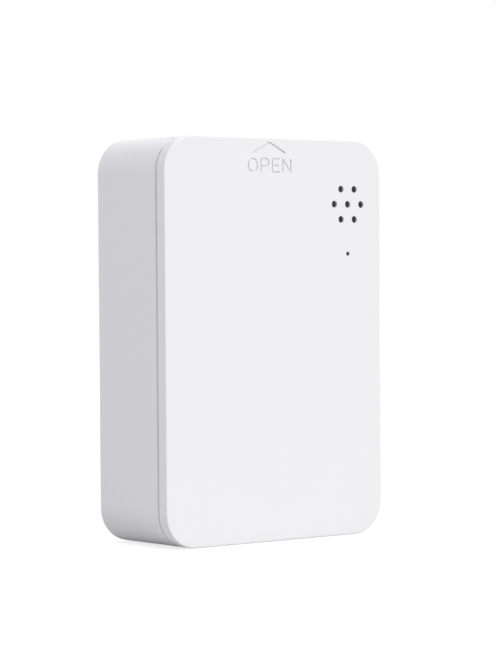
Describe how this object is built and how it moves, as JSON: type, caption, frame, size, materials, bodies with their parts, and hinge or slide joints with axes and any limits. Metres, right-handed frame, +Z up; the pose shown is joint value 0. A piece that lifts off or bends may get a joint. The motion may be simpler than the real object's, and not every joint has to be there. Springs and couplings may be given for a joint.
{
  "type": "water leak sensor",
  "caption": "Upright battery water leak alarm box with slide-off front cover, sounder grille, status light pin-hole, pairing button and steel water probes in the back.",
  "frame": {"origin": "middle of the space the part stands on, at floor level", "axes": "+Z up; +Y from the front face to the back; +X to the right as the front is faced"},
  "size_m": [0.0468, 0.0196, 0.068],
  "materials": {
    "white_case_plastic": "fine satin moulded ABS",
    "white_cover_plastic": "fine satin moulded ABS",
    "chassis_plastic": "plain moulded ABS, dark grey as seen through the sounder holes",
    "screw_steel": "zinc-plated steel",
    "cell_jacket": "printed foil jacket",
    "contact_nickel": "nickel-plated strip",
    "spring_nickel": "nickel-plated wire",
    "board_laminate": "green solder mask on glass laminate",
    "module_laminate": "dark blue solder mask on glass laminate",
    "shield_tinplate": "tinplate",
    "chip_epoxy": "moulded epoxy",
    "capacitor_can": "drawn aluminium",
    "small_part_ceramic": "ceramic with tinned ends",
    "sounder_plastic": "moulded black plastic",
    "pin_tin": "tinned wire",
    "light_lens": "clear epoxy on a white base",
    "clear_acrylic": "polished clear acrylic",
    "switch_plastic": "moulded black plastic",
    "plunger_plastic": "moulded black plastic",
    "button_plastic": "moulded pale grey ABS",
    "stud_stainless": "turned stainless steel",
    "seal_rubber": "nitrile rubber",
    "standoff_brass": "turned brass"
  },
  "bodies": {
    "case": {"rear_housing": "white_case_plastic", "battery_chassis": "chassis_plastic", "chassis_screws": "screw_steel", "aaa_cell_left": "cell_jacket", "aaa_cell_right": "cell_jacket", "positive_contact": "contact_nickel", "negative_contact": "contact_nickel", "bridge_contact": "contact_nickel", "bridge_spring": "spring_nickel", "negative_spring": "spring_nickel", "circuit_board": "board_laminate", "radio_module_board": "module_laminate", "radio_shield_can": "shield_tinplate", "sense_chip": "chip_epoxy", "storage_capacitor": "capacitor_can", "small_board_parts": "small_part_ceramic", "sounder_case": "sounder_plastic", "sounder_pins": "pin_tin", "status_light": "light_lens", "light_pipe": "clear_acrylic", "switch_body": "switch_plastic", "probe_studs": "stud_stainless", "probe_seal_rings": "seal_rubber", "probe_standoffs": "standoff_brass"},
    "cover": {"front_cover": "white_cover_plastic"},
    "button": {"pairing_button": "button_plastic", "switch_plunger": "plunger_plastic"}
  },
  "joints": [
    {"name": "cover_slide", "type": "slide", "parent": "case", "child": "cover", "axis": [0, 0, 1], "range_m": [0, 0.07]},
    {"name": "button_press", "type": "slide", "parent": "case", "child": "button", "axis": [0, 1, 0], "range_m": [0, 0.00025], "stiffness_N_per_m": 6000}
  ]
}
